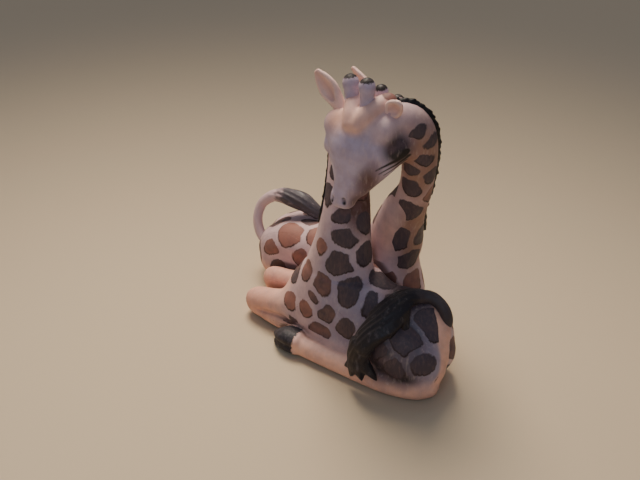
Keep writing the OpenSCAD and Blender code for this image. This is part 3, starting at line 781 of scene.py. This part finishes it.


# Soft clouds of colour, as rows of tone, strength, centre and radii: airbrushed coat tones, and painted light
# and shade where a table says so.
# Painted shade: slate and charcoal over the thigh and its lower part; charcoal on the top and rear of the
# rump, partly dark paint, partly painted shade.
FLANK_SHADE_CLOUDS = [(SLATE, 2, (40, -22, 24), (21, 18, 22)), (CHARCOAL, 1.3, (37, -25, 16), (10, 9, 15)),
                (CHARCOAL, 1.3, (45, -26, 13), (14, 9, 8)), (CHARCOAL, 1.6, (37, -4, 35), (16, 15, 9)),
                (CHARCOAL, 1.3, (47, 1, 30), (13, 9, 13))]
NECK_CLOUDS = {
    # Painted shadow: the front neck's brown cloud, where the other head shades it.
    "front": [(BROWN, 1.4, (13, -5, 70), (10, 14, 24))],
    "back": [(TAN, 1.5, (33, 3, 92), (13, 16, 30)), (TAN, 1.5, (30, 10, 52), (13, 12, 36)),
             (PEACH, 1, (19, 2, 50), (9, 9, 18))],
}
# A painted highlight of peach on the brow that faces the light, and a charcoal cloud over the closed eye:
# partly dark lid paint, partly painted shade.
CHEEK_CLOUDS = [(PEACH, 1, (4, -10, 107), (9, 9, 9)), (CHARCOAL, 1.5, (28.6, -6.8, 100.2), (9.5, 8.5, 10))]
# Painted shade: brown on the jaw and throat, where the other neck shades them.
THROAT_SHADE_CLOUDS = [(BROWN, 1.1, (20, -12, 87), (7, 7, 12))]


def clouds(places, rows):
    for tone, strength, centre, radii in rows:
        yield tone, strength * near(places, centre, radii)


def body_tones(name, places):
    """The tones of the body, each with its share at every place, in the order in which they are laid."""
    x, y, z = places.T
    yield PEACH, (13 - z) / 6
    if name == "front":
        # Partly painted shade: mauve over the flank that faces the front, over the coat's own lavender.
        flank = np.clip((-8 - y) / 8, 0, 1) * np.clip((z - 9) / 5, 0, 1) * np.clip((x + 4) / 10, 0, 1)
        yield MAUVE, 0.9 * flank
        # Painted warm light: peach and coral on the end that faces the lamps, over the legs' own peach.
        yield PEACH, 0.8 * np.clip((-12 - x) / 6, 0, 1) * (z < 40)
        yield CORAL, 0.4 * np.clip((-18 - x) / 8, 0, 1) * (z < 40)
        yield from clouds(places, FLANK_SHADE_CLOUDS)
        yield PEACH, near_line(places, RUMP_BAND, 4.4) / 1.6
    yield from clouds(places, NECK_CLOUDS[name])


def face_tones(name, places):
    """Face tones: lilac snout and peach brows, partly painted shade and highlight; painted shade on a cheek
    and the jaw.
    """
    face = Face(**GIRAFFES[name]["head"])
    snout = np.clip(((places - face.skull) @ face.down + 4) / 8, 0, 1) * head_share(name, places)
    # Partly painted shade: lilac over the snout's pale coat.
    yield LILAC, 0.85 * snout
    for hand in (-1, 1):
        ridge = [face.at(down, left * hand, front + 1.5) for down, left, front in BROW]
        # Partly painted highlight: peach along the brow ridges, where they catch the light.
        yield PEACH, np.clip(near_line(places, ridge, 5.5) / 6, 0, 0.65)
    if name == "back":
        yield from clouds(places, CHEEK_CLOUDS)
        # Painted shadow: brown along the jaw, in the shade of the other neck.
        jaw = [face.at(*place) for place in JAW]
        yield BROWN, np.clip(near_line(places, jaw, 5.4) / 4, 0, 0.8)
        yield from clouds(places, THROAT_SHADE_CLOUDS)


def base_colour(name, places):
    """The ground colour of the coat under its spots: airbrushed tones, with painted light and shade laid in.
    """
    colour = np.tile(CREAM, (len(places), 1))
    for tones in (body_tones, face_tones):
        for tone, share in tones(name, places):
            colour = colour + np.clip(share, 0, 1)[:, None] * (tone - colour)
    return colour


HOOF_LENGTH = 14
HOOF_INNER = 3.6
HOOF_TOP = 11


def hoof_share(name, places):
    """How far places are inside the painted hoof, in mm."""
    hoof, ahead = (np.array(row) for row in HOOVES[name])
    along = (places - hoof) @ ahead
    inner = HOOF_INNER + np.abs(places[:, 1]) - abs(hoof[1])
    return np.minimum.reduce([along, HOOF_LENGTH - along, inner, HOOF_TOP - places[:, 2]])


def paint_vertices(mesh, name, clays, seeds):
    """Stores what the painted materials read: ground colour, spots, ink and creases."""
    count = len(mesh.vertices)
    places, normals = np.empty(count * 3), np.empty(count * 3)
    mesh.vertices.foreach_get("co", places)
    mesh.vertices.foreach_get("normal", normals)
    places, normals = places.reshape(-1, 3) / MM, normals.reshape(-1, 3)
    spot, tone, below = spot_pattern(places, seeds)
    spot = np.minimum(spot, (coat_share(name, places) - 0.5) * 4)
    store(mesh, "spot", spot)
    store(mesh, "tone", tone)
    store(mesh, "below", below)
    store(mesh, "ink", face_marks(name, places))
    store(mesh, "hoof", hoof_share(name, places))
    store(mesh, "hollow", hollowness(places, normals, clays))
    store_ground(mesh, base_colour(name, places))


def store(mesh, name, values):
    mesh.attributes.new(name, "FLOAT", "POINT").data.foreach_set("value", np.asarray(values, np.float32))


def store_ground(mesh, colours):
    ground = mesh.attributes.new("ground", "FLOAT_COLOR", "POINT")
    ground.data.foreach_set("color", np.hstack([colours, np.ones((len(colours), 1))]).ravel())


# ---------------------------------------------------------------- materials

class Paint:
    """A material under construction, with short calls for the nodes that it needs."""

    def __init__(self, name):
        self.material = bpy.data.materials.new(name)
        self.material.use_nodes = True
        self.tree = self.material.node_tree
        self.tree.nodes.clear()
        self.shader = self.node("BsdfPrincipled")
        out = self.node("OutputMaterial")
        self.tree.links.new(self.shader.outputs[0], out.inputs["Surface"])
        self.coords = self.node("TexCoord").outputs["Object"]

    def node(self, kind, **settings):
        made = self.tree.nodes.new("ShaderNode" + kind)
        for key, value in settings.items():
            setattr(made, key, value)
        return made

    def plug(self, socket, value):
        if isinstance(value, bpy.types.NodeSocket):
            self.tree.links.new(value, socket)
        elif np.ndim(value) and len(value) == 3 and socket.type == "RGBA":
            socket.default_value = (*value, 1)
        else:
            socket.default_value = value

    def attribute(self, name, colour=False):
        return self.node("Attribute", attribute_name=name).outputs["Color" if colour else "Fac"]

    def math(self, operation, *values):
        made = self.node("Math", operation=operation)
        for socket, value in zip(made.inputs, values):
            self.plug(socket, value)
        return made.outputs[0]

    def ramp(self, value, low, high, start=0.0, end=1.0):
        """Runs smoothly from start to end as value goes from low to high."""
        made = self.node("MapRange", interpolation_type="SMOOTHSTEP")
        for socket, number in zip(made.inputs, (value, low, high, start, end)):
            self.plug(socket, number)
        return made.outputs[0]

    def mix(self, share, one, two, mode="MIX"):
        made = self.node("Mix", data_type="RGBA", blend_type=mode)
        self.plug(made.inputs[0], share)
        self.plug(made.inputs[6], one)
        self.plug(made.inputs[7], two)
        return made.outputs[2]

    def brushed_edge(self, name, strokes, ragged, soft):
        """1 inside a painted area and 0 outside, from its stored distance in mm, with a ragged edge."""
        jitter = self.ramp(strokes, 0.2, 0.8, -ragged, ragged)
        return self.ramp(self.math("ADD", self.attribute(name), jitter), -soft, soft)

    def noise(self, scale, detail=3.0, stretch=None, roughness=0.55):
        """Noise with so many waves to a metre. Stretch scales the three directions."""
        made = self.node("TexNoise")
        place = self.coords
        if stretch:
            mapping = self.node("Mapping")
            self.plug(mapping.inputs["Vector"], place)
            mapping.inputs["Scale"].default_value = stretch
            place = mapping.outputs[0]
        self.plug(made.inputs["Vector"], place)
        made.inputs["Scale"].default_value = scale
        made.inputs["Detail"].default_value = detail
        made.inputs["Roughness"].default_value = roughness
        return made.outputs["Fac"]

    def bump(self, *layers):
        """Bumps one on another, each a height from 0 to 1 and its depth in mm."""
        normal = None
        for height, depth in layers:
            made = self.node("Bump")
            made.inputs["Distance"].default_value = depth * MM
            self.plug(made.inputs["Height"], height)
            if normal is not None:
                self.plug(made.inputs["Normal"], normal)
            normal = made.outputs["Normal"]
        self.plug(self.shader.inputs["Normal"], normal)

    def finish(self, colour, roughness, specular=0.35):
        self.plug(self.shader.inputs["Base Color"], colour)
        self.plug(self.shader.inputs["Roughness"], roughness)
        self.shader.inputs["Specular IOR Level"].default_value = specular
        return self.material


# Spot colours, from reddish to dark: with the listed tones, partly painted light and shade.
SPOT_LIGHT = linear(158, 106, 92)
SPOT_DARK = linear(80, 67, 72)
SPOT_LINE = linear(48, 32, 30)
# Painted shade: the dark laid in creases and where the statue meets the floor.
CREASE_SHADE = linear(96, 62, 52)


def coat_paint(name):
    """Hand-painted coat: a washed ground, spots with dark edges, ink, painted shade in creases and a satin
    glaze.
    """
    paint = Paint(name)
    wash = paint.noise(190, 4)
    strokes = paint.noise(900, 3, stretch=(1, 1, 0.25))
    speckle = paint.noise(2600, 2)
    ground = paint.attribute("ground", colour=True)
    colour = paint.mix(paint.ramp(wash, 0.35, 0.7, 0, 0.3), ground, linear(150, 116, 122))
    colour = paint.mix(paint.ramp(strokes, 0.5, 0.72, 0, 0.18), colour, linear(232, 206, 192))
    spot = paint.math("ADD", paint.attribute("spot"), paint.ramp(strokes, 0.2, 0.8, -0.3, 0.3))
    tone = paint.math("ADD", paint.attribute("tone"), paint.ramp(wash, 0.3, 0.7, -0.15, 0.15))
    # Spot colour from its tone: partly painted light and shade, reddish where lit and dark grey in shade.
    patch = paint.mix(paint.ramp(tone, 0, 0.85), SPOT_LIGHT, SPOT_DARK)
    patch = paint.mix(paint.ramp(strokes, 0.42, 0.75, 0, 0.3), patch, linear(132, 104, 96))
    colour = paint.mix(paint.ramp(spot, -0.35, 0.2), colour, patch)
    # Dark edges round the spots, stronger on their lower sides: partly painted outline, partly painted shadow
    # under the raised edge.
    rim = paint.math("MULTIPLY", paint.ramp(spot, -0.4, 0.05), paint.ramp(spot, 0.7, 0.15))
    rim = paint.math("MULTIPLY", rim, paint.ramp(paint.attribute("below"), -0.2, 0.7, 0.15, 1))
    colour = paint.mix(paint.math("MULTIPLY", rim, paint.ramp(wash, 0.3, 0.6, 0.45, 0.95)), colour, SPOT_LINE)
    # Painted shade, darker the deeper a place lies in a crease or against the floor.
    creases = paint.ramp(paint.attribute("hollow"), 0.3, 0.95, 0, 0.75)
    colour = paint.mix(creases, colour, CREASE_SHADE)
    colour = paint.mix(paint.ramp(paint.attribute("ink"), -0.35, 0.3), colour, SOOT)
    hoof = paint.brushed_edge("hoof", strokes, 0.5, 0.3)
    colour = paint.mix(hoof, colour, paint.mix(paint.ramp(strokes, 0.4, 0.7), CHARCOAL, linear(70, 64, 68)))
    paint.bump((paint.ramp(spot, -0.4, 0.3), 0.12), (strokes, 0.09), (speckle, 0.03))
    return paint.finish(colour, paint.ramp(wash, 0.3, 0.7, 0.5, 0.66))


def strand_paint(name, dark, light, along):
    """Dark hair with brushed lighter streaks that run along a direction."""
    paint = Paint(name)
    strands = paint.noise(1500, 4, stretch=along)
    wash = paint.noise(260, 3)
    colour = paint.mix(paint.ramp(strands, 0.52, 0.75, 0, 0.75), dark, light)
    colour = paint.mix(paint.ramp(wash, 0.45, 0.7, 0, 0.5), colour, dark)
    stem = paint.brushed_edge("stem", strands, 0.9, 1)
    colour = paint.mix(stem, colour, paint.attribute("ground", colour=True))
    paint.bump((strands, 0.22), (wash, 0.1))
    return paint.finish(colour, paint.ramp(strands, 0.3, 0.7, 0.42, 0.62))


def ear_paint(name):
    """A pale ear, pinker and darker in its cup."""
    paint = Paint(name)
    wash = paint.noise(300, 4)
    strokes = paint.noise(1400, 3, stretch=(1, 1, 0.4))
    colour = paint.mix(paint.ramp(wash, 0.35, 0.7, 0, 0.5), linear(242, 204, 190), linear(226, 182, 170))
    colour = paint.mix(paint.ramp(paint.attribute("cup"), 0.0, 1.4, 0, 0.4), colour, linear(226, 172, 156))
    colour = paint.mix(paint.ramp(paint.attribute("cup"), 1.4, 2.6, 0, 0.15), colour, linear(150, 96, 92))
    colour = paint.mix(paint.ramp(strokes, 0.55, 0.8, 0, 0.3), colour, linear(242, 222, 206))
    paint.bump((strokes, 0.1), (wash, 0.12))
    return paint.finish(colour, paint.ramp(wash, 0.3, 0.7, 0.48, 0.62))


def horn_paint(name):
    """A pale horn with a dark brushed cap."""
    paint = Paint(name)
    wash = paint.noise(320, 4)
    strokes = paint.noise(1300, 3, stretch=(1, 1, 0.3))
    colour = paint.mix(paint.ramp(wash, 0.35, 0.7, 0, 0.6), linear(196, 176, 190), linear(172, 148, 158))
    cap = paint.brushed_edge("cap", strokes, 0.4, 0.3)
    colour = paint.mix(cap, colour, paint.mix(paint.ramp(strokes, 0.45, 0.7), SOOT, linear(78, 68, 66)))
    paint.bump((strokes, 0.12), (wash, 0.1))
    return paint.finish(colour, paint.ramp(wash, 0.3, 0.7, 0.45, 0.62))


def dowel_wood(name):
    """Pale turned wood with fine grain along it, for the hidden dowels."""
    paint = Paint(name)
    grain = paint.noise(900, 5, stretch=(1, 1, 0.08))
    rings = paint.noise(240, 2, stretch=(1, 1, 0.2))
    colour = paint.mix(paint.ramp(grain, 0.35, 0.7), linear(206, 170, 124), linear(164, 120, 78))
    colour = paint.mix(paint.ramp(rings, 0.4, 0.7, 0, 0.4), colour, linear(136, 96, 60))
    paint.bump((grain, 0.05))
    return paint.finish(colour, paint.ramp(grain, 0.3, 0.7, 0.55, 0.75), 0.3)


def floor_paint(name):
    """A plain pale surface with the faintest unevenness."""
    paint = Paint(name)
    wash = paint.noise(3, 2)
    paint.bump((paint.noise(900, 2), 0.02))
    return paint.finish(paint.mix(wash, linear(208, 187, 156), linear(202, 181, 151)), 0.8, 0.2)


# ---------------------------------------------------------------- assembly

def show(obj, material, slot, node=None):
    """Finishes a piece: its shading, its material, its body, and the CAD node that it stands for."""
    mesh = obj.data
    mesh.polygons.foreach_set("use_smooth", np.ones(len(mesh.polygons), bool))
    mesh.set_sharp_from_angle(angle=math.radians(62))
    mesh.materials.clear()
    mesh.materials.append(material)
    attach(obj, "root")
    if node:
        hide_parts(node)


def clay_object(name, clay, rounds=4):
    verts, faces = clay.skin()
    return new_object(name, new_mesh(name, relaxed(verts, faces, rounds), faces))


# The front stem is dark, partly dark paint and partly painted shade where it lies over the top of the rump;
# the back stem is cream.
STEM_TINT = {"front": linear(72, 62, 62), "back": CREAM}


def places_of(mesh):
    places = np.empty(len(mesh.vertices) * 3)
    mesh.vertices.foreach_get("co", places)
    return places.reshape(-1, 3) / MM


def build_giraffe(name, clay, clays, paints, rng):
    verts, faces = clay.skin()
    verts = relaxed(verts, faces, 6)
    seeds = all_seeds(name, verts, rng)
    for part, mesh in cut_pieces(name, verts, faces).items():
        paint_vertices(mesh, name, clays, seeds)
        kind = part.replace("left_", "").replace("right_", "")
        slot = SLOTS[kind]
        show(new_object(f"carved_{name}_{part}", mesh), paints["coat"], slot, f"{name}_{part}")


def build_ear(name, hand, paint):
    foot, tip, across = (np.array(row, float) for row in EARS[name, hand])
    ear = clay_object(f"carved_{name}_{hand}_ear", sculpt_ear(foot, tip, across))
    away = unit(np.cross(unit(tip - foot), across))
    away = away if away[1] < 0 else -away
    rel = places_of(ear.data) - (foot + tip) / 2
    depth = 1.2 - rel @ away
    cup = np.where(depth > 0.2, 2.6 - np.abs(rel @ unit(across)), 0)
    store(ear.data, "cup", cup * (depth < 1.8))
    show(ear, paint, "ear_paint", f"{name}_{hand}_ear")


def build_horn(name, hand, paint):
    foot, tip = (np.array(row, float) for row in HORNS[name, hand])
    horn = clay_object(f"carved_{name}_{hand}_horn", sculpt_horn(foot, tip, HORN_SIZE[name]))
    cap = foot + (tip - foot) * CAP_START
    store(horn.data, "cap", (places_of(horn.data) - cap) @ unit(tip - foot))
    show(horn, paint, "horn_paint", f"{name}_{hand}_ossicone")


def build_tail(name, paint):
    tail = clay_object(f"carved_{name}_tail", sculpt_tail(name))
    stem = smooth_line(TAILS[name]["stem"], 4)[:, :3]
    tuft = smooth_line(TAILS[name]["tuft"], 4)[2:, :3]
    places = places_of(tail.data)
    store(tail.data, "stem", near_line(places, stem, 0) - near_line(places, tuft, 0))
    store_ground(tail.data, np.tile(STEM_TINT[name], (len(places), 1)))
    show(tail, paint, "tail_paint", f"{name}_tail")


def build_details(name, paints):
    """The pieces that aren't cut from the animal's skin."""
    for animal, hand in EARS:
        if animal == name:
            build_ear(name, hand, paints["ear"])
    for animal, hand in HORNS:
        if animal == name:
            build_horn(name, hand, paints["horn"])
    build_tail(name, paints[name + "_tuft"])
    mane = clay_object(f"carved_{name}_mane", sculpt_mane(name))
    show(mane, paints["mane"], "mane_paint")


def add_light(name, place, target, size, power, colour, cone=None):
    """A soft disk of light, or with a cone a soft-edged spot."""
    lamp = bpy.data.lights.new(name, "SPOT" if cone else "AREA")
    if cone:
        lamp.shadow_soft_size = size / 2
        lamp.spot_size = math.radians(cone)
        lamp.spot_blend = 1
    else:
        lamp.shape = "DISK"
        lamp.size = size
    lamp.energy = power
    lamp.color = colour
    obj = new_object(name, lamp)
    obj.location = place
    obj.rotation_euler = Vector(np.subtract(target, place)).to_track_quat("-Z", "Y").to_euler()


# Place, target, diameter, power, colour, and the width of the cone in degrees.
LIGHTS = {
    "window": ((-0.24, 0.2, 0.6), (0.09, -0.18, 0), 0.3, 24, (1, 0.87, 0.7), 71),
    "lamp": ((-0.6, 0.02, 0.3), (0, 0, 0.05), 0.2, 1.6, (1, 0.8, 0.64), 34),
    "fill": ((0.3, -0.6, 0.6), (0, 0, 0.05), 0.5, 1.15, (0.66, 0.8, 1), None),
}
CAMERA_PLACE = (0.1803, -0.2717, 0.281)
CAMERA_TARGET = (-0.01, 0, 0.04)
CAMERA_LENS = 55.4
SENSOR_WIDTH = 36
FLOOR_REACH = 9


def build_stage():
    """The camera, a plain floor, and soft lights: warm from the upper left, weak and cool from the front."""
    camera = new_object("camera", bpy.data.cameras.new("camera"))
    camera.location = CAMERA_PLACE
    target = Vector(CAMERA_TARGET)
    camera.rotation_euler = (target - camera.location).to_track_quat("-Z", "Y").to_euler()
    camera.data.sensor_width = SENSOR_WIDTH
    camera.data.lens = CAMERA_LENS
    camera.data.clip_start = 0.01
    bpy.context.scene.camera = camera
    floor = new_object("floor", bpy.data.meshes.new("floor"))
    corners = [(FLOOR_REACH * x, FLOOR_REACH * y, 0) for x, y in ((-1, -1), (1, -1), (1, 1), (-1, 1))]
    floor.data.from_pydata(corners, [], [(0, 1, 2, 3)])
    floor.data.materials.append(floor_paint("pale_floor"))
    for name, settings in LIGHTS.items():
        add_light(name, *settings)
    build_sky()


def build_sky():
    """A wide weak sun and a dim blue room."""
    sky = bpy.data.lights.new("sky", "SUN")
    sky.energy = 0.45
    sky.angle = math.radians(40)
    sky.color = (0.94, 0.96, 1)
    new_object("sky", sky).rotation_euler = (math.radians(-22), math.radians(-18), 0)
    world = bpy.data.worlds.new("room")
    bpy.context.scene.world = world
    world.use_nodes = True
    background = world.node_tree.nodes["Background"]
    background.inputs["Color"].default_value = (0.42, 0.47, 0.62, 1)
    background.inputs["Strength"].default_value = 0.28


SPOT_SEED = 7


def make_paints():
    return {
        "coat": coat_paint("painted_coat"),
        "ear": ear_paint("painted_ear"),
        "horn": horn_paint("painted_horn"),
        "front_tuft": strand_paint("painted_tuft", linear(42, 36, 38), linear(96, 88, 90), (0.4, 0.4, 0.12)),
        "back_tuft": strand_paint("painted_grey_tuft", linear(82, 74, 78), linear(150, 134, 136),
                                  (0.12, 0.4, 0.4)),
        "mane": strand_paint("painted_mane", SOOT, linear(84, 70, 62), (0.4, 0.4, 0.4)),
    }


def paint_dowels():
    """The dowels keep their CAD shape, in plain wood."""
    wood = dowel_wood("pale_dowel")
    for node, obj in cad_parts.items():
        if "dowel" in node:
            obj.data.materials.clear()
            obj.data.materials.append(wood)


def main():
    build_stage()
    paints = make_paints()
    paint_dowels()
    clays = {name: sculpt_giraffe(name) for name in GIRAFFES}
    rng = np.random.default_rng(SPOT_SEED)
    for name, clay in clays.items():
        build_giraffe(name, clay, list(clays.values()), paints, rng)
        build_details(name, paints)


main()
